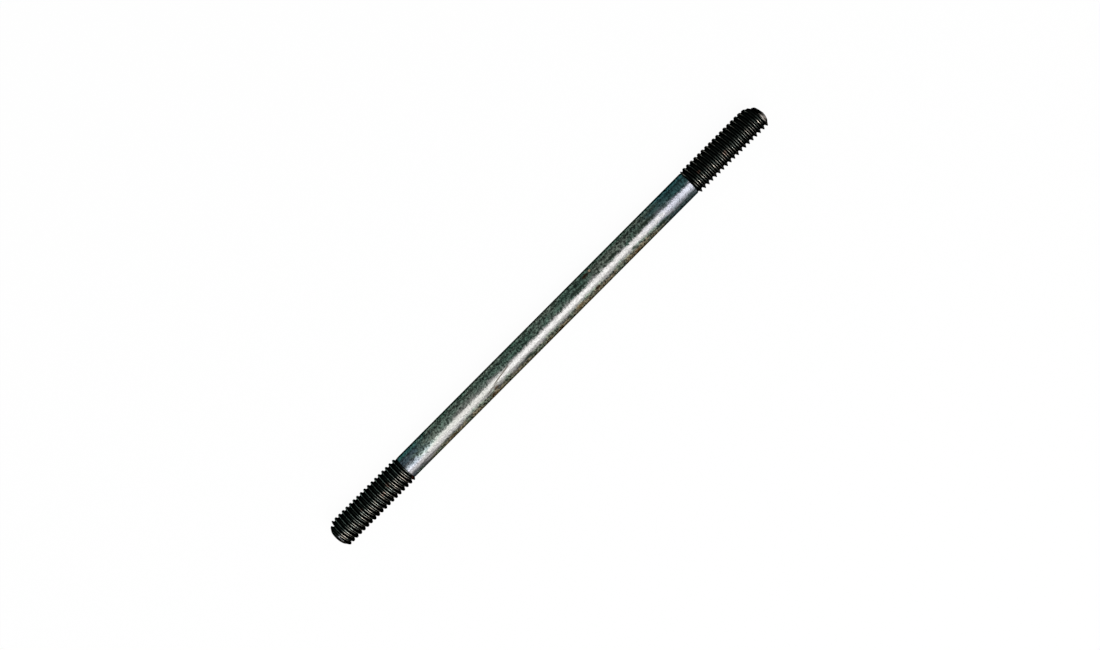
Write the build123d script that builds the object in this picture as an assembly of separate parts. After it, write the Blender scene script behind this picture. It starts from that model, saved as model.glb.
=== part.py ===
"""A double-ended stud bolt: a plain waisted shank with an equal rolled thread at each end."""
from build123d import *
import math
import os

# The stud as a whole
STUD_LENGTH = 117.0

# Coarse metric thread, right-handed, the same at both ends
THREAD_DIAMETER = 6.0
PITCH = 1.0
THREAD_LENGTH = 19.6
FLANK_ANGLE = 60.0

# Clock angle at which each ridge meets its end face, about +X from +Y
RIGHT_START_ANGLE = 137.0
LEFT_START_ANGLE = 209.0

# Shank between the threads: the drawn bar that the threads were rolled on
SHANK_DIAMETER = 5.15

# Turned ends
END_FLAT_DIAMETER = 3.2
CHAMFER_ANGLE = 45.0

# Run-out at the shank: the ridge fades over one length,
# and the neck rises from the thread's root to the shank over another
RIDGE_RUNOUT = 0.9
NECK_LENGTH = 0.3

# How far the ridge is sunk into the core that carries it, and how far tools overrun the metal
SEAT_DEPTH = 0.05
OVERRUN = 0.5

# Sizes that follow from the thread's standard form
CREST_RADIUS = THREAD_DIAMETER / 2
ROOT_RADIUS = CREST_RADIUS - 0.61343 * PITCH
SHANK_RADIUS = SHANK_DIAMETER / 2


def turned(*outline):
    """A solid of revolution about Z from an outline given as (radius, height) points."""
    profile = make_face(Polyline(*[(r, 0, z) for r, z in outline], close=True))
    return revolve(profile, Axis.Z, 360)


def core():
    """Half of the stud without its thread, standing on Z: root cylinder, neck and shank."""
    return turned(
        (0, -OVERRUN),
        (ROOT_RADIUS, -OVERRUN),
        (ROOT_RADIUS, THREAD_LENGTH - NECK_LENGTH),
        (SHANK_RADIUS, THREAD_LENGTH),
        (SHANK_RADIUS, STUD_LENGTH / 2),
        (0, STUD_LENGTH / 2),
    )


def thread_ridge():
    """The helical ridge of one thread, faded out towards the shank. The end face is at zero height."""
    base_radius = ROOT_RADIUS - SEAT_DEPTH
    half_base = (CREST_RADIUS - base_radius) * math.tan(math.radians(FLANK_ANGLE / 2))
    section = make_face(
        Polyline((base_radius, 0, -half_base), (CREST_RADIUS, 0, 0), (base_radius, 0, half_base), close=True)
    )
    # the path is made turn by turn, so that no surface winds over itself
    turns = range(-1, math.ceil(THREAD_LENGTH / PITCH) + 1)
    path = Wire([Pos(0, 0, turn * PITCH) * Helix(PITCH, PITCH, CREST_RADIUS) for turn in turns])
    ridge = sweep(Pos(0, 0, turns[0] * PITCH) * section, path, is_frenet=True)
    # what is left of it lies inside a cone that meets the neck
    fade = RIDGE_RUNOUT / (CREST_RADIUS - ROOT_RADIUS)
    fade_end = THREAD_LENGTH - NECK_LENGTH / 2
    space = turned(
        (0, -2 * PITCH),
        (CREST_RADIUS + OVERRUN, -2 * PITCH),
        (CREST_RADIUS + OVERRUN, fade_end - fade * (CREST_RADIUS + OVERRUN - ROOT_RADIUS)),
        (ROOT_RADIUS - OVERRUN, fade_end + fade * OVERRUN),
        (0, fade_end + fade * OVERRUN),
    )
    return ridge & space


def threaded_half():
    """One half of the stud, standing on Z with its chamfered end face at zero height."""
    flat_radius = END_FLAT_DIAMETER / 2
    outer = CREST_RADIUS + OVERRUN
    chamfer_length = (outer - flat_radius) / math.tan(math.radians(CHAMFER_ANGLE))
    chamfered_bar = turned(
        (0, 0),
        (flat_radius, 0),
        (outer, chamfer_length),
        (outer, STUD_LENGTH / 2 + OVERRUN),
        (0, STUD_LENGTH / 2 + OVERRUN),
    )
    return (core() + thread_ridge()) & chamfered_bar


def stud_bolt():
    """The finished stud: the same half twice, each clocked to its own thread start."""
    half = threaded_half()
    halves = []
    for side, angle in ((1, RIGHT_START_ANGLE), (-1, LEFT_START_ANGLE)):
        clock = math.radians(angle)
        end_face = Plane(
            origin=(side * STUD_LENGTH / 2, 0, 0),
            x_dir=(0, math.cos(clock), math.sin(clock)),
            z_dir=(-side, 0, 0),
        )
        halves.append(end_face * half)
    # it lies on the ground plane, on its thread crests
    return Pos(0, 0, CREST_RADIUS) * (halves[0] + halves[1])


os.makedirs("parts", exist_ok=True)
stud = stud_bolt()
stud.label = "stud_bolt"
export_step(stud, "parts/stud_bolt.step")
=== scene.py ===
"""A double-ended stud bolt of oiled steel, lying on a pale floor."""
import math

import bpy
from mathutils import Matrix, Vector


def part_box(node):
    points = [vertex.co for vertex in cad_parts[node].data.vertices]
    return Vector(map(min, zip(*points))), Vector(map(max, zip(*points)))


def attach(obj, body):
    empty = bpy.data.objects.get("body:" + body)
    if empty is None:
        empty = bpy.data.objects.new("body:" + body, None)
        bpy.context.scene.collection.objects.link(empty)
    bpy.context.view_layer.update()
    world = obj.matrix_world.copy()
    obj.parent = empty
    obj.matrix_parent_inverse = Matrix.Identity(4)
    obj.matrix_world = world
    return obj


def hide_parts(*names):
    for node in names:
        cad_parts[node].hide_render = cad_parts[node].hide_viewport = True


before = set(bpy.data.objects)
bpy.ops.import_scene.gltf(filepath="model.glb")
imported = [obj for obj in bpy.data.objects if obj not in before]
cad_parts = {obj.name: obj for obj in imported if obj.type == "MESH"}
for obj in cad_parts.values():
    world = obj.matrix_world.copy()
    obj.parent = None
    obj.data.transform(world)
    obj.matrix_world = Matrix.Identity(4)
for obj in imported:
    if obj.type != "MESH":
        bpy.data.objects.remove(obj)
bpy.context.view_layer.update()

# ---------------------------------------------------------------------------------------------
# The stud: one bar of drawn steel, 117 mm long, with a coarse metric thread rolled on each end.
# The threads are black and oily, with bright worn crests, painted highlights on their roots and
# tips, and painted shade off the lit side. The shank between them keeps a mottled green-grey skin,
# blued next to the threads and stained brown along one side. Its top is rubbed bare in a band that
# also carries a painted highlight, with a painted sheen next to it on the left half, and its rim on
# the worn side has painted shade.
# ---------------------------------------------------------------------------------------------
MM = 0.001
low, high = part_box("stud_bolt")
HALF_LENGTH = (high.x - low.x) / 2
AXIS_HEIGHT = (high.z + low.z) / 2
CREST_RADIUS = (high.z - low.z) / 2
SHANK_RADIUS = 2.575 * MM
END_FLAT_RADIUS = 1.6 * MM
END_EDGE = 0.35 * MM
RIGHT_THREAD = 19.6 * MM
LEFT_THREAD = 19.4 * MM
# the angle round the bar at which each thread starts, from the worn side
RIGHT_START = math.radians(43.0)
LEFT_START = math.radians(29.0)

# the standard form of a metric thread
PITCH = 1.0 * MM
THREAD_DEPTH = 0.61343 * PITCH
ROOT_ROUND_SHARE = 0.14434
FLANK_ANGLE = math.radians(30)
# how the ridge fades out and the bar rises from the thread's root to the shank
RIDGE_RUNOUT = 0.5 * MM
NECK_LENGTH = 0.2 * MM

# oil caked in the roots, and more of it on the worn side
ROOT_OIL = 0.05 * MM
WORN_SIDE_OIL = 0.07 * MM
# the slopes of the nick, towards the end and away from it
NICK_FRONT_SLOPE = -1.8
NICK_BACK_SLOPE = 4.5
# the chamfer: how round its inner edge is, how far wear cuts it back on the worn side, how far
# it swells on the other, what share of the thread's hollows it keeps, and where that fades out
EDGE_ROUNDING = 0.6
CHAMFER_WEAR = 0.45 * MM
CHAMFER_SWELL = 0.44 * MM
CHAMFER_HOLLOWS = 0.25
CHAMFER_CLEAR = 0.3 * MM
# the slope of a skew end face begins this far past the axis, and reaches this deep into the bar
SKEW_START = 0.6 * MM
SKEW_REACH = 1.6 * MM
# wear that differs from one end to the other
RIGHT_WEAR = {
    "Side Wear": 0.17 * MM, "Tip Wear": 0.42, "Worn Depth": 0.42 * MM, "Worn Length": 4.0 * MM,
    "Nick Place": 0.95 * MM, "Nick Level": 2.02 * MM, "Nick Slant": -0.35 * MM, "End Slope": 0.18,
}
LEFT_WEAR = {
    "Side Wear": 0.11 * MM, "Tip Wear": -0.05, "Worn Depth": 0.0, "Worn Length": 4.0 * MM,
    "Nick Place": 1.13 * MM, "Nick Level": 1.60 * MM, "Nick Slant": 0.48 * MM, "End Slope": 0.0,
}

# how finely the skin is divided
AROUND = 96
ROWS_PER_PITCH = 16
TURNS = math.ceil(RIGHT_THREAD / PITCH) + 2
SHANK_RINGS = 120
# corners nearer than this to the end lie on its face, and those nearer than this to each other
# are welded into one
AT_FACE = 1e-7
WELD = 2e-7
SHARP_ANGLE = math.radians(35)


class Wire:
    """An output of a node. Arithmetic on it adds Math nodes to its tree."""

    def __init__(self, bench, output):
        self.bench = bench
        self.output = output

    def __add__(self, other):
        return self.bench.math("ADD", self, other)

    __radd__ = __add__

    def __sub__(self, other):
        return self.bench.math("SUBTRACT", self, other)

    def __rsub__(self, other):
        return self.bench.math("SUBTRACT", other, self)

    def __mul__(self, other):
        return self.bench.math("MULTIPLY", self, other)

    __rmul__ = __mul__

    def __truediv__(self, other):
        return self.bench.math("DIVIDE", self, other)

    def __rtruediv__(self, other):
        return self.bench.math("DIVIDE", other, self)

    def __neg__(self):
        return self.bench.math("MULTIPLY", self, -1.0)

    def __abs__(self):
        return self.bench.math("ABSOLUTE", self)

    def floor(self):
        return self.bench.math("FLOOR", self)

    def square_root(self):
        return self.bench.math("SQRT", self)

    def sine(self):
        return self.bench.math("SINE", self)

    def cosine(self):
        return self.bench.math("COSINE", self)

    def least(self, other):
        return self.bench.math("MINIMUM", self, other)

    def most(self, other):
        return self.bench.math("MAXIMUM", self, other)


class Bench:
    """A node tree under construction."""

    def __init__(self, tree):
        self.tree = tree

    def add(self, kind, settings=None, inputs=(), output=0):
        """Adds a node, sets it up, feeds its sockets, and gives a wire from one of its outputs."""
        made = self.tree.nodes.new(kind)
        for name, value in (settings or {}).items():
            setattr(made, name, value)
        self.feed(made, inputs)
        return Wire(self, made.outputs[output]) if made.outputs else None

    def feed(self, made, inputs):
        """Feeds a node's sockets with values and wires. A list joins its wires in one socket."""
        pairs = inputs.items() if isinstance(inputs, dict) else enumerate(inputs)
        for key, value in pairs:
            for one in value if isinstance(value, list) else [value]:
                if isinstance(one, Wire):
                    self.tree.links.new(one.output, made.inputs[key])
                else:
                    made.inputs[key].default_value = one

    def math(self, operation, *values):
        return self.add("ShaderNodeMath", {"operation": operation}, values)

    def point(self, x, y, z):
        return self.add("ShaderNodeCombineXYZ", {}, [x, y, z])


def parts(place):
    """The X, Y and Z of a place."""
    split = place.bench.add("ShaderNodeSeparateXYZ", {}, [place]).output.node
    return [Wire(place.bench, output) for output in split.outputs]


def geometry_tree(name, sizes, counts):
    """Opens a geometry tree with named inputs, and gives its bench and a wire from each input."""
    tree = bpy.data.node_groups.new(name, "GeometryNodeTree")
    for title in sizes:
        tree.interface.new_socket(title, in_out="INPUT", socket_type="NodeSocketFloat")
    for title in counts:
        tree.interface.new_socket(title, in_out="INPUT", socket_type="NodeSocketInt")
    tree.interface.new_socket("Geometry", in_out="OUTPUT", socket_type="NodeSocketGeometry")
    bench = Bench(tree)
    entry = bench.add("NodeGroupInput").output.node
    return bench, {title: Wire(bench, entry.outputs[title]) for title in (*sizes, *counts)}


def threaded_end_tree():
    """One rolled end, standing on Z with its end face at zero height and its worn side towards X.

    It is a ribbon one pitch wide, wound round the axis. Its rows follow the helix, so that crests
    and roots stay sharp, and what would pass the end face or the shank is gathered in there.
    """
    bench, size = geometry_tree("threaded end", (
        "Crest Radius", "Thread Depth", "Pitch", "Thread Length", "Start Angle", "End Flat Radius",
        "Shank Radius", "Ridge Runout", "Neck Length", "End Edge", "Side Wear", "Tip Wear",
        "Worn Depth", "Worn Length", "Nick Place", "Nick Level", "Nick Slant", "End Slope",
    ), ("Around", "Rows", "Turns"))
    columns = size["Around"] * size["Turns"] + 1
    rows = size["Rows"] + 1
    ribbon = bench.add("GeometryNodeMeshGrid", {}, {"Vertices X": columns, "Vertices Y": rows})
    index = bench.add("GeometryNodeInputIndex")
    # half a row is added, so that rounding never puts a corner in the column before its own
    column = (index / rows + 0.5 / (ROWS_PER_PITCH + 1)).floor()
    row = index - column * rows
    angle = column / size["Around"] * math.tau
    phase = row / size["Rows"]

    # the form across one pitch: half a crest, a flank, a rounded root, a flank, half a crest
    pitch = size["Pitch"]
    crest = size["Crest Radius"]
    core = crest - size["Thread Depth"]
    from_root = abs(phase - 0.5) * pitch
    root_round = pitch * ROOT_ROUND_SHARE
    arc = root_round - (root_round * root_round - from_root * from_root).most(0.0).square_root()
    flank_start = root_round * math.cos(FLANK_ANGLE)
    flank_rise = (from_root - flank_start) * (1 / math.tan(FLANK_ANGLE))
    flank = root_round * (1 - math.sin(FLANK_ANGLE)) + flank_rise
    on_flank = bench.math("GREATER_THAN", from_root, flank_start)
    form = core + arc * (1 - on_flank) + flank * on_flank
    hollow = crest - form
    height = (column / size["Around"] + phase - 1.5 - size["Start Angle"] / math.tau) * pitch

    # wear along one side of the thread, deeper on its first turns, and caked oil in the roots
    worn_side = angle.cosine() * 0.5 + 0.5
    worn_end = (1 - height / size["Worn Length"]).most(0.0).least(1.0)
    wear = size["Side Wear"] * worn_side * worn_side + size["Worn Depth"] * worn_side * worn_end
    form = form.least(crest - wear).most(core + worn_side * worn_side * WORN_SIDE_OIL + ROOT_OIL)

    # the ridge fades where it meets the shank, and the neck rises from the root to the shank
    fade = (size["Thread Length"] - size["Neck Length"] * 0.5 - height) / size["Ridge Runout"]
    form = form.least((core + size["Thread Depth"] * fade).most(core))
    neck = 1 - (size["Thread Length"] - height) / size["Neck Length"]
    form = form.most(core + (size["Shank Radius"] - core) * neck.most(0.0).least(1.0))

    # a nick across the first turns on the same side, gentle towards the end and steep behind: it
    # is a flat, so that it is cut less deep further round (0.05 keeps the division clear of zero)
    past_nick = height - size["Nick Place"] - size["Nick Slant"] * angle.sine()
    nick = size["Nick Level"] + (past_nick * NICK_FRONT_SLOPE).most(past_nick * NICK_BACK_SLOPE)
    form = form.least(nick / angle.cosine().most(0.05))

    # the chamfer, blunt and uneven, with a small rounded edge round the end flat
    depth = height.most(0.0)
    edge = size["End Edge"]
    inside = (1 - depth / edge).most(0.0)
    round_off = (1 - inside * inside).most(0.0).square_root() * edge - edge
    clear = (depth / CHAMFER_CLEAR).least(1.0)
    tip_wear = size["Tip Wear"] * worn_side * worn_side
    uneven = hollow * CHAMFER_HOLLOWS + tip_wear * CHAMFER_WEAR - (1 - worn_side) * CHAMFER_SWELL
    chamfer = size["End Flat Radius"] + depth * (1 - tip_wear) + round_off * EDGE_ROUNDING
    form = form.least(chamfer - uneven * clear)

    # what would pass the shank lies on it, and what would pass the end lies round its face
    past_shank = bench.math("GREATER_THAN", height, size["Thread Length"])
    form = form * (1 - past_shank) + size["Shank Radius"] * past_shank
    height = depth.least(size["Thread Length"])
    at_face = bench.math("LESS_THAN", height, AT_FACE)
    face_radius = size["End Flat Radius"] - edge * EDGE_ROUNDING
    form = form * (1 - at_face) + face_radius * at_face
    place = bench.point(form * angle.cosine(), form * angle.sine(), height)
    ribbon = bench.add("GeometryNodeSetPosition", {}, {"Geometry": ribbon, "Position": place})
    face = bench.add("GeometryNodeMeshCircle", {"fill_type": "TRIANGLE_FAN"}, {
        "Vertices": size["Around"], "Radius": face_radius})
    face = bench.add("GeometryNodeFlipFaces", {}, {"Mesh": face})
    whole = bench.add("GeometryNodeJoinGeometry", {}, {"Geometry": [ribbon, face]})

    # the bar was cut a little askew, so that the end face slopes away on the worn side
    sideways, _, height = parts(bench.add("GeometryNodeInputPosition"))
    reach = (1 - height / SKEW_REACH).most(0.0)
    askew = (sideways + SKEW_START).most(0.0) * reach * size["End Slope"]
    whole = bench.add("GeometryNodeSetPosition", {}, {
        "Geometry": whole, "Offset": bench.point(0.0, 0.0, askew)})
    bench.add("NodeGroupOutput", {}, [whole])
    return bench.tree


def stud_tree(thread_material, shank_material):
    """The whole stud along X: two threaded ends and the shank between them, welded into one skin."""
    bench, size = geometry_tree("stud bolt", (
        "Half Length", "Axis Height", "Crest Radius", "Thread Depth", "Pitch", "Right Thread",
        "Left Thread", "End Flat Radius", "Shank Radius", "Right Start", "Left Start",
    ), ("Around", "Rows", "Turns", "Shank Rings"))
    end_tree = threaded_end_tree()
    shared = {name: size[name] for name in (
        "Crest Radius", "Thread Depth", "Pitch", "End Flat Radius", "Shank Radius",
        "Around", "Rows", "Turns")}
    lengths = []
    for side, name, wear in ((1, "Right", RIGHT_WEAR), (-1, "Left", LEFT_WEAR)):
        end = bench.add("GeometryNodeGroup", {"node_tree": end_tree}, {
            **shared, **wear, "Thread Length": size[f"{name} Thread"],
            "Start Angle": size[f"{name} Start"], "Ridge Runout": RIDGE_RUNOUT,
            "Neck Length": NECK_LENGTH, "End Edge": END_EDGE})
        end = bench.add("GeometryNodeTransform", {}, {
            "Geometry": end, "Rotation": (-side * math.pi / 2, 0.0, math.pi / 2),
            "Translation": bench.point(size["Half Length"] * side, 0.0, size["Axis Height"])})
        lengths.append(bench.add("GeometryNodeSetMaterial", {}, {
            "Geometry": end, "Material": thread_material}))
    shank = bench.add("GeometryNodeMeshCylinder", {"fill_type": "NONE"}, {
        "Vertices": size["Around"], "Side Segments": size["Shank Rings"],
        "Radius": size["Shank Radius"],
        "Depth": size["Half Length"] * 2 - size["Right Thread"] - size["Left Thread"]})
    middle = (size["Left Thread"] - size["Right Thread"]) * 0.5
    shank = bench.add("GeometryNodeTransform", {}, {
        "Geometry": shank, "Rotation": (math.pi / 2, 0.0, math.pi / 2),
        "Translation": bench.point(middle, 0.0, size["Axis Height"])})
    lengths.append(bench.add("GeometryNodeSetMaterial", {}, {
        "Geometry": shank, "Material": shank_material}))
    skin = bench.add("GeometryNodeJoinGeometry", {}, {"Geometry": lengths})
    skin = bench.add("GeometryNodeMergeByDistance", {}, {"Geometry": skin, "Distance": WELD})
    skin = bench.add("GeometryNodeRealizeInstances", {}, {"Geometry": skin})
    bench.add("NodeGroupOutput", {}, [skin])
    return bench.tree


def finish(name):
    """A new material, its node bench, and its surface shader."""
    material = bpy.data.materials.new(name)
    material.use_nodes = True
    return material, Bench(material.node_tree), material.node_tree.nodes["Principled BSDF"]


def blend(share, one, other):
    """A colour between two colours."""
    return share.bench.add("ShaderNodeMix", {"data_type": "RGBA"}, {0: share, 6: one, 7: other}, 2)


def step(value, start, end):
    """A smooth step from 0 to 1 as the value goes from start to end."""
    return value.bench.add("ShaderNodeMapRange", {"interpolation_type": "SMOOTHSTEP"}, [
        value, start, end, 0.0, 1.0])


def vector(operation, one, other):
    """A sum, difference, product or quotient of two places, axis by axis."""
    return one.bench.add("ShaderNodeVectorMath", {"operation": operation}, [one, other])


def scaled(bench, one, times):
    """A place or a colour, so many times as large."""
    return bench.add("ShaderNodeVectorMath", {"operation": "SCALE"}, {0: one, "Scale": times})


def speckle(place, scale, detail=3.0, roughness=0.55):
    """Noise about zero, over a place in millimetres."""
    noise = place.bench.add("ShaderNodeTexNoise", {}, {
        "Vector": place, "Scale": scale, "Detail": detail, "Roughness": roughness})
    return noise - 0.5


def place_in_mm(bench):
    """The place on the stud in millimetres: X to the right end, Y to the worn side, Z up."""
    place = bench.add("ShaderNodeTexCoord", {}, (), "Object")
    place = vector("SUBTRACT", place, (0.0, 0.0, AXIS_HEIGHT))
    return vector("MULTIPLY", place, (1 / MM, 1 / MM, 1 / MM))


def stain(place, centre, size):
    """A soft spot on the stud: 1 at its centre, 0 past its reach along, across and upward."""
    away = vector("DIVIDE", vector("SUBTRACT", place, centre), size)
    away = place.bench.add("ShaderNodeVectorMath", {"operation": "LENGTH"}, [away], "Value")
    return step(away, 1.0, 0.35)


def shank_finish():
    """The mottled shank, with its blued ends, brown side, bare band that carries a painted highlight,
    painted sheen and rim shade, small stains and scratches.
    """
    material, bench, shader = finish("mottled_steel")
    place = place_in_mm(bench)
    x, y, z = parts(place)
    drawn = vector("MULTIPLY", place, (0.4, 1.0, 1.0))
    grain = speckle(place, 2.6, 3.0, 0.6)
    mottle = speckle(drawn, 0.9, 3.0, 0.6)
    clouds = speckle(drawn, 0.30, 2.0)
    edge = mottle * 1.5 + grain * 1.3
    wavy_x = x + mottle * 20
    # painted shade: the skin and the bluing darken towards the rim on the worn side
    painted_rim_shade = step(y, 2.15, 2.45) * 0.85

    # a green-black skin in patches, paler on the left half, where a painted sheen spreads from the
    # highlight, greyer in clouds, and darkened by painted shade where the side turns under on the worn
    # side
    green_black = (0.054, 0.096, 0.074, 1)
    grey_green = (0.100, 0.138, 0.112, 1)
    sheen_green = (0.120, 0.180, 0.146, 1)
    warm_grey = (0.112, 0.118, 0.098, 1)
    skin = blend(step(mottle + clouds, -0.2, 0.22), green_black, grey_green)
    # painted sheen: the skin is lighter on the left half, from the band up to near the worn side, as
    # the tail of the highlight
    painted_sheen = step(x, -4.0, -26.0) * (step(x, -37.0, -28.0) * 0.7 + 0.3) * step(y, 1.9, 0.4)
    skin = blend(painted_sheen * 0.9, skin, sheen_green)
    skin = blend(step(clouds, -0.05, 0.2) * 0.45, skin, warm_grey)
    skin = blend(painted_rim_shade, skin, (0.036, 0.034, 0.030, 1))

    # bluing next to the threads, greener on the worn side
    blued = step(wavy_x, -30.0, -38.0) + step(wavy_x, 23.0, 34.0)
    oxide = blend(step(y, 1.5, 0.0), (0.032, 0.102, 0.104, 1), (0.046, 0.058, 0.066, 1))
    left_upper = step(x, -33.0, -36.5) * step(abs(y - 1.0), 0.9, 0.4)
    oxide = blend(left_upper, oxide, (0.048, 0.074, 0.104, 1))
    left_lower = step(x, -33.0, -36.0) * step(y, 0.7, 0.2)
    oxide = blend(left_lower, oxide, (0.070, 0.074, 0.092, 1))
    right_upper = step(x, 20.0, 36.0) * step(y, -1.9, -0.7)
    oxide = blend(right_upper, oxide, (0.022, 0.072, 0.082, 1))
    # painted shade along the rim on the worn side, over the bluing too
    oxide = blend(painted_rim_shade, oxide, (0.030, 0.036, 0.034, 1))
    skin = blend(blued * 0.8, skin, oxide)

    # brown stain on the side away from the worn one
    brown = step(edge - y, 1.35, 1.9) * step(abs(x + 3 + mottle * 12), 36.0, 28.0) * step(z, -1.0, 0.8)
    brown_skin = blend(step(mottle, -0.05, 0.10), (0.160, 0.131, 0.088, 1), (0.108, 0.122, 0.092, 1))
    skin = blend(brown * 0.9, skin, brown_skin)

    # the top was rubbed bare, in a band that bends aside and turns bluish near the threads; the band
    # is also a painted highlight, laid where the key lamp's reflection falls and bent as it bends
    bend = step(x, -25.0, -37.5) * 0.58
    width = 1.20 + step(x, 35.0, 37.5) * 0.3 - step(x, -33.0, -37.0) * 0.25
    lower_edge = edge * 0.8 + mottle + clouds + x * 0.005 - y - bend * 0.5
    soft = step(x, -4.0, -20.0) - step(abs(x), 32.0, 37.0) + step(x, 25.0, 33.0)
    bare_and_highlight = step(edge - y, bend * 0.9 - 0.47 - soft * 0.6, bend * 2.4 + 0.08 + soft * 0.2)
    bare_and_highlight = bare_and_highlight * step(lower_edge, width + 0.65, width) * step(z, 0.0, 1.0)
    metal = blend(step(wavy_x, -6.0, -22.0), (0.174, 0.166, 0.165, 1), (0.142, 0.136, 0.131, 1))
    metal = blend(blued, metal, (0.160, 0.157, 0.181, 1))
    metal = blend(step(abs(x), 35.0, 37.5), metal, (0.190, 0.190, 0.216, 1))
    # painted highlight: the band's metal is lighter low on the left, where the highlight spreads
    # further down
    low_left_highlight = (step(x, -14.0, -32.0) - step(x, -34.0, -38.0) * 0.3) * step(-y, 0.6, 1.4)
    metal = blend(low_left_highlight, metal, (0.26, 0.25, 0.25, 1))
    skin = blend(bare_and_highlight * 0.9, skin, metal)

    # dark and light grain, weaker on the bare band with its painted highlight, the bluing and the
    # underside
    depth = (7.5 - bare_and_highlight * 5.8) * (1 - blued * 0.4) * (0.6 + step(z, -0.2, 1.0) * 0.4)
    skin = scaled(bench, skin, (grain * depth + 1.0).most(0.2).least(2.8))

    # small stains with ragged edges: colour, share, and the centre and reach of each
    ragged = vector("ADD", place, scaled(bench, (1.0, 1.0, 1.0), mottle))
    for colour, share, spots in (
            ((0.17, 0.112, 0.050, 1), 0.65, (
                ((7.3, -1.85, 1.79), (1.5, 0.65, 0.6)),)),
            ((0.016, 0.026, 0.018, 1), 0.9, (
                ((-6.5, -1.75, 1.9), (2.3, 0.45, 0.5)), ((9.0, 0.65, 2.5), (3.2, 0.5, 0.5)),
                ((18.0, 0.55, 2.5), (2.2, 0.45, 0.5)), ((27.5, 0.5, 2.5), (4.2, 0.38, 0.5)),
                ((22.6, -1.3, 2.2), (0.9, 0.6, 0.6)), ((30.0, -1.7, 1.9), (1.7, 0.6, 0.6)))),
            ((0.66, 0.47, 0.31, 1), 1.0, (
                ((13.1, 1.74, 1.9), (0.5, 0.42, 0.42)),)),
            ((0.040, 0.020, 0.010, 1), 0.9, (
                ((11.9, 1.6, 2.0), (1.2, 0.6, 0.6)), ((-15.4, -1.5, 2.1), (0.8, 0.5, 0.5)),
                ((12.3, -1.75, 1.9), (0.9, 0.7, 0.6)))),
            ((0.085, 0.050, 0.025, 1), 0.7, (
                ((-27.9, -2.1, 1.5), (1.6, 0.5, 0.6)), ((-16.7, -2.2, 1.3), (1.4, 0.4, 0.6)),
                ((22.7, -2.2, 1.3), (1.4, 0.4, 0.6)), ((1.6, -2.3, 1.1), (1.2, 0.3, 0.6))))):
        for centre, reach in spots:
            skin = blend(stain(ragged, centre, reach) * share, skin, colour)

    # two fine scratches, slanting across the bare band
    for centre, aside, reach, share in ((-13.0, 0.40, 2.9, 0.95), (-16.2, 1.10, 2.2, 0.7)):
        off = abs(y + aside - (x - centre) * 0.14 + mottle * 0.25)
        scratch = step(off, 0.16, 0.05) * step(abs(x - centre), reach, reach - 1.2)
        skin = blend(scratch * step(z, 0.0, 1.0) * share, skin, (0.030, 0.026, 0.020, 1))

    bench.feed(shader, {
        "Base Color": skin, "Roughness": 0.22 + grain * 0.25 + mottle * 0.12, "Metallic": 1.0,
        "Specular Tint": (0.1, 0.12, 0.11, 1),
        "Normal": bench.add("ShaderNodeBump", {}, {
            "Strength": 0.8, "Distance": 0.06 * MM, "Height": grain + mottle * 0.6})})
    return material


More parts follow.
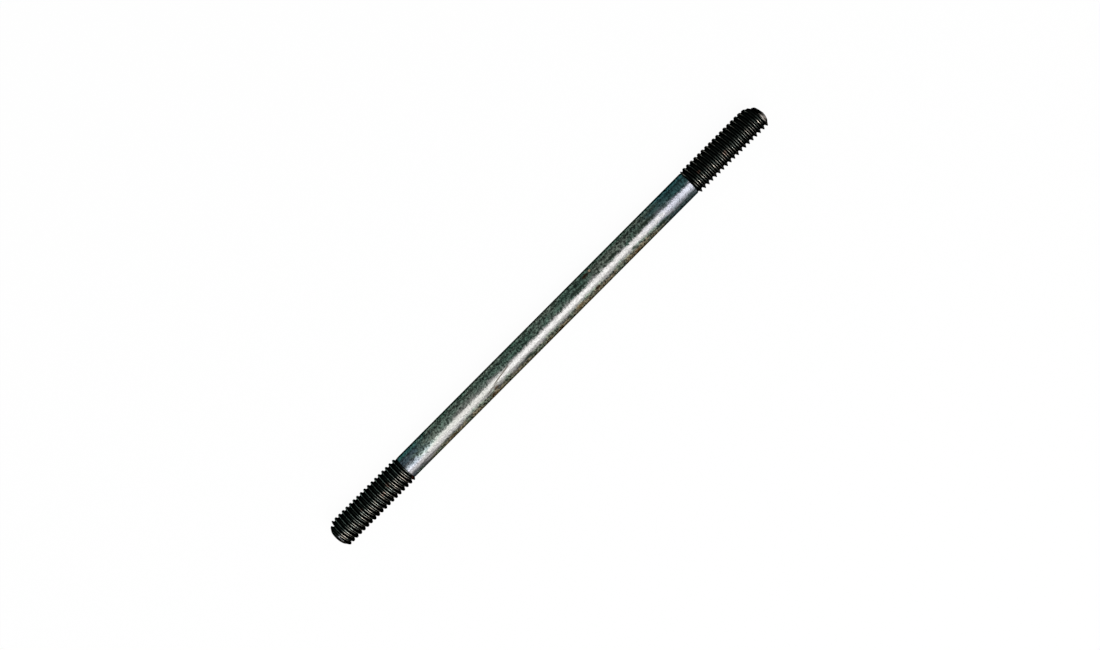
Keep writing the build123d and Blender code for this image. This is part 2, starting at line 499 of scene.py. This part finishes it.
def thread_finish():
    """Black oily threads with bright crests, painted highlights on the roots and tips, painted shade
    off the lit side, spots of rust, and chamfers bare in places.
    """
    material, bench, shader = finish("oiled_thread")
    place = place_in_mm(bench)
    x, y, z = parts(place)
    patches = speckle(vector("MULTIPLY", place, (1.0, 0.45, 0.45)), 1.1, 2.0)
    grime = speckle(place, 1.7, 3.0)
    grain = speckle(place, 4.0, 3.0, 0.65)

    # the turn of the thread that a place is on: whole on a crest, half on a root
    right = step(x, -1.0, 1.0)
    side = right * 2 - 1
    clock = bench.math("ARCTAN2", -side * z, y)
    start = right * (RIGHT_START / math.tau) + (1 - right) * (LEFT_START / math.tau)
    turn = (HALF_LENGTH / MM - abs(x)) + start + 1.5 - clock / math.tau - right * 0.04
    crest = step(abs(turn - (turn + 0.5).floor()), 0.045, 0.014)
    # painted highlight: a bright line along each root, set a little off its middle on the left end
    off_root = abs(turn - turn.floor() - 0.5 + (1 - right) * 0.03)
    root = step(off_root, 0.052, 0.018) * (right * 0.25 + 0.75)

    # bare crests, and roots with a painted highlight on the lit side only, dulled by grime, and by
    # painted shade that darkens them away from the lit band near the top
    bright = crest + root * step(y, 0.6, -0.3)
    dull = step(grime * 1.4 + patches, 0.10, -0.14)
    # painted shade: it darkens the bright lines on the worn side and underneath, so that they are lit
    # only in a band near the top; grime gives it a ragged edge
    painted_shade = step(y + grime + right * 0.1 + 0.4, -1.0, 0.2) * (right * 0.5 + 0.47)
    painted_shade = painted_shade - step(y, 1.2, 1.9) * (right * 0.25 + 0.1)
    painted_shade = painted_shade.most(step(grime * 0.8 - y + right * 0.2 + 0.2, 1.5, 2.35) * (right * 0.3 + 0.6))
    bright = bright * (1 - dull * 0.75) * (1 - painted_shade) * (right * 0.5 + 0.7)
    steel = blend(step(patches, -0.10, 0.10), (0.44, 0.48, 0.43, 1), (0.53, 0.47, 0.40, 1))
    steel = blend(step(y, -0.4, 0.6) * (1 - right * 0.8), steel, (0.38, 0.54, 0.47, 1))
    steel = scaled(bench, steel, right * 0.22 + 1)
    skin = blend(bright, (0.006, 0.008, 0.007, 1), steel)

    # rust here and there on the turns and in the corner at the shank: centre and reach
    for centre, reach in (
            ((-39.2, -2.35, 1.3), (0.8, 0.5, 0.9)), ((-43.8, 0.2, 2.8), (0.7, 0.6, 0.8)),
            ((-45.5, -0.6, 2.8), (0.5, 0.6, 0.8)), ((-50.7, 0.3, 2.8), (0.4, 0.5, 0.8)),
            ((47.7, -0.9, 2.7), (0.5, 0.8, 0.8)), ((41.6, 0.2, 2.8), (0.5, 0.5, 0.8))):
        skin = blend(stain(place, centre, reach) * 0.35, skin, (0.21, 0.105, 0.075, 1))
    # the metal of the chamfers, bare in places, a dark spot, and a painted highlight along the first
    # ridge at each tip: colour, centre and reach
    ragged_share = step(grime + grain, -0.12, 0.08) * 0.6 + 0.4
    for colour, centre, reach in (
            ((0.36, 0.32, 0.30, 1), (58.2, -1.2, 1.3), (0.7, 1.35, 1.45)),
            # a painted highlight along the right tip's first ridge
            ((0.90, 0.83, 0.78, 1), (57.58, -1.0, 1.8), (0.28, 1.35, 1.4)),
            # a painted highlight along the left tip's first ridge
            ((0.80, 0.85, 0.90, 1), (-57.60, -0.6, 1.95), (0.24, 1.10, 1.3)),
            ((0.010, 0.012, 0.012, 1), (-57.15, -0.35, 2.7), (0.42, 0.6, 0.7)),
            ((0.37, 0.37, 0.27, 1), (-58.4, -1.25, 0.9), (0.4, 0.80, 1.0))):
        skin = blend(stain(place, centre, reach) * ragged_share, skin, colour)

    bench.feed(shader, {
        "Base Color": skin, "Roughness": 0.27 + grain * 0.3, "Metallic": 1.0,
        "Specular Tint": (0.05, 0.05, 0.05, 1),
        "Normal": bench.add("ShaderNodeBump", {}, {
            "Strength": 0.4, "Distance": 0.03 * MM, "Height": grain})})
    return material


blank = bpy.data.objects.new("stud", bpy.data.meshes.new("stud"))
bpy.context.scene.collection.objects.link(blank)
modifier = blank.modifiers.new("build", "NODES")
modifier.node_group = stud_tree(thread_finish(), shank_finish())
sizes = {
    "Half Length": HALF_LENGTH, "Axis Height": AXIS_HEIGHT, "Crest Radius": CREST_RADIUS,
    "Thread Depth": THREAD_DEPTH, "Pitch": PITCH, "Right Thread": RIGHT_THREAD,
    "Left Thread": LEFT_THREAD, "End Flat Radius": END_FLAT_RADIUS, "Shank Radius": SHANK_RADIUS,
    "Right Start": RIGHT_START, "Left Start": LEFT_START,
    "Around": AROUND, "Rows": ROWS_PER_PITCH, "Turns": TURNS, "Shank Rings": SHANK_RINGS,
}
for socket in modifier.node_group.interface.items_tree:
    if socket.in_out == "INPUT":
        modifier[socket.identifier] = sizes[socket.name]
bpy.context.view_layer.update()
evaluated = blank.evaluated_get(bpy.context.evaluated_depsgraph_get())
stud = bpy.data.objects.new("stud_skin", bpy.data.meshes.new_from_object(evaluated))
blank.modifiers.remove(modifier)
bpy.data.objects.remove(blank)
bpy.context.scene.collection.objects.link(stud)
stud.data.shade_smooth()
stud.data.set_sharp_from_angle(angle=SHARP_ANGLE)
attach(stud, "root")
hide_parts("stud_bolt")

# ---------------------------------------------------------------------------------------------
# The floor: a sheet of white paper under the stud. The camera and the steel see it glow nearly
# white, whatever light falls on it, and it keeps the stud's shadow.
# ---------------------------------------------------------------------------------------------
FLOOR_REACH = 3.0
PAPER_GLOW = 0.96
floor_mesh = bpy.data.meshes.new("floor")
corners = [(x * FLOOR_REACH, y * FLOOR_REACH, 0) for x, y in ((-1, -1), (1, -1), (1, 1), (-1, 1))]
floor_mesh.from_pydata(corners, [], [(0, 1, 2, 3)])
floor = bpy.data.objects.new("floor", floor_mesh)
bpy.context.scene.collection.objects.link(floor)
paper, bench, shader = finish("white_paper")
bench.feed(shader, {
    "Base Color": (0.78, 0.78, 0.78, 1), "Roughness": 0.9, "Specular IOR Level": 0.1})
seen = bench.add("ShaderNodeLightPath", {}, (), "Is Camera Ray")
seen = seen.most(bench.add("ShaderNodeLightPath", {}, (), "Is Glossy Ray"))
seen = seen.most(bench.add("ShaderNodeLightPath", {}, (), "Is Transmission Ray"))
glow = bench.add("ShaderNodeEmission", {}, {"Color": (1, 1, 1, 1), "Strength": 1.0})
surface = bench.add("ShaderNodeMixShader", {}, [
    seen * PAPER_GLOW, Wire(bench, shader.outputs[0]), glow])
bench.feed(paper.node_tree.nodes["Material Output"], {"Surface": surface})
floor_mesh.materials.append(paper)

# ---------------------------------------------------------------------------------------------
# The light and the camera: four soft lamps in an arc over the stud, each leaning from overhead
# towards one of its sides, with dim surroundings. The camera looks down from 0.3 m.
# ---------------------------------------------------------------------------------------------
world = bpy.data.worlds.new("studio")
bpy.context.scene.world = world
world.use_nodes = True
world.node_tree.nodes["Background"].inputs["Color"].default_value = (0.24, 0.24, 0.24, 1)


def stand(name, data, place, right, up, back):
    """Puts a lamp or a camera at a place, looking the other way from its back."""
    holder = bpy.data.objects.new(name, data)
    bpy.context.scene.collection.objects.link(holder)
    rows = [(right[axis], up[axis], back[axis], place[axis]) for axis in range(3)]
    holder.matrix_world = Matrix([*rows, (0, 0, 0, 1)])
    return holder


# each lamp is a rectangle along the stud: its lean in degrees, its width and its radiance
LAMP_DISTANCE = 0.7
LAMP_LENGTH = 0.50
LAMP_SHIFT = -0.07
for name, lean, width, radiance in (
        ("key", 24.0, 0.52, 5.6), ("fill", -43.0, 0.60, 0.55),
        ("gap", -8.0, 0.29, 0.7), ("side", 60.0, 0.42, 2.2)):
    lamp = bpy.data.lights.new(name, "AREA")
    lamp.shape = "RECTANGLE"
    lamp.size = LAMP_LENGTH
    lamp.size_y = width
    lamp.energy = radiance * math.pi * width * LAMP_LENGTH
    back = Vector((0, -math.sin(math.radians(lean)), math.cos(math.radians(lean))))
    right = Vector((1, 0, 0))
    place = Vector((LAMP_SHIFT, 0, AXIS_HEIGHT)) + back * LAMP_DISTANCE
    stand(name, lamp, place, right, back.cross(right), back)

# the camera leans a little towards the right end, and is turned so that the stud lies aslant
CAMERA_LEAN = math.radians(1.7)
CAMERA_TURN = math.radians(45.13)
CAMERA_DISTANCE = 0.305
CAMERA_AIM = Vector((0.398 * MM, -0.318 * MM, AXIS_HEIGHT))
lens = bpy.data.cameras.new("camera")
lens.sensor_width = 36
lens.lens = 51.24
lens.clip_start = 0.01
back = Vector((math.sin(CAMERA_LEAN), 0, math.cos(CAMERA_LEAN)))
along = Vector((math.cos(CAMERA_LEAN), 0, -math.sin(CAMERA_LEAN)))
across = Vector((0, 1, 0))
right = along * math.cos(CAMERA_TURN) - across * math.sin(CAMERA_TURN)
up = along * math.sin(CAMERA_TURN) + across * math.cos(CAMERA_TURN)
place = CAMERA_AIM + back * CAMERA_DISTANCE
bpy.context.scene.camera = stand("camera", lens, place, right, up, back)
bpy.context.scene.view_settings.view_transform = "Standard"
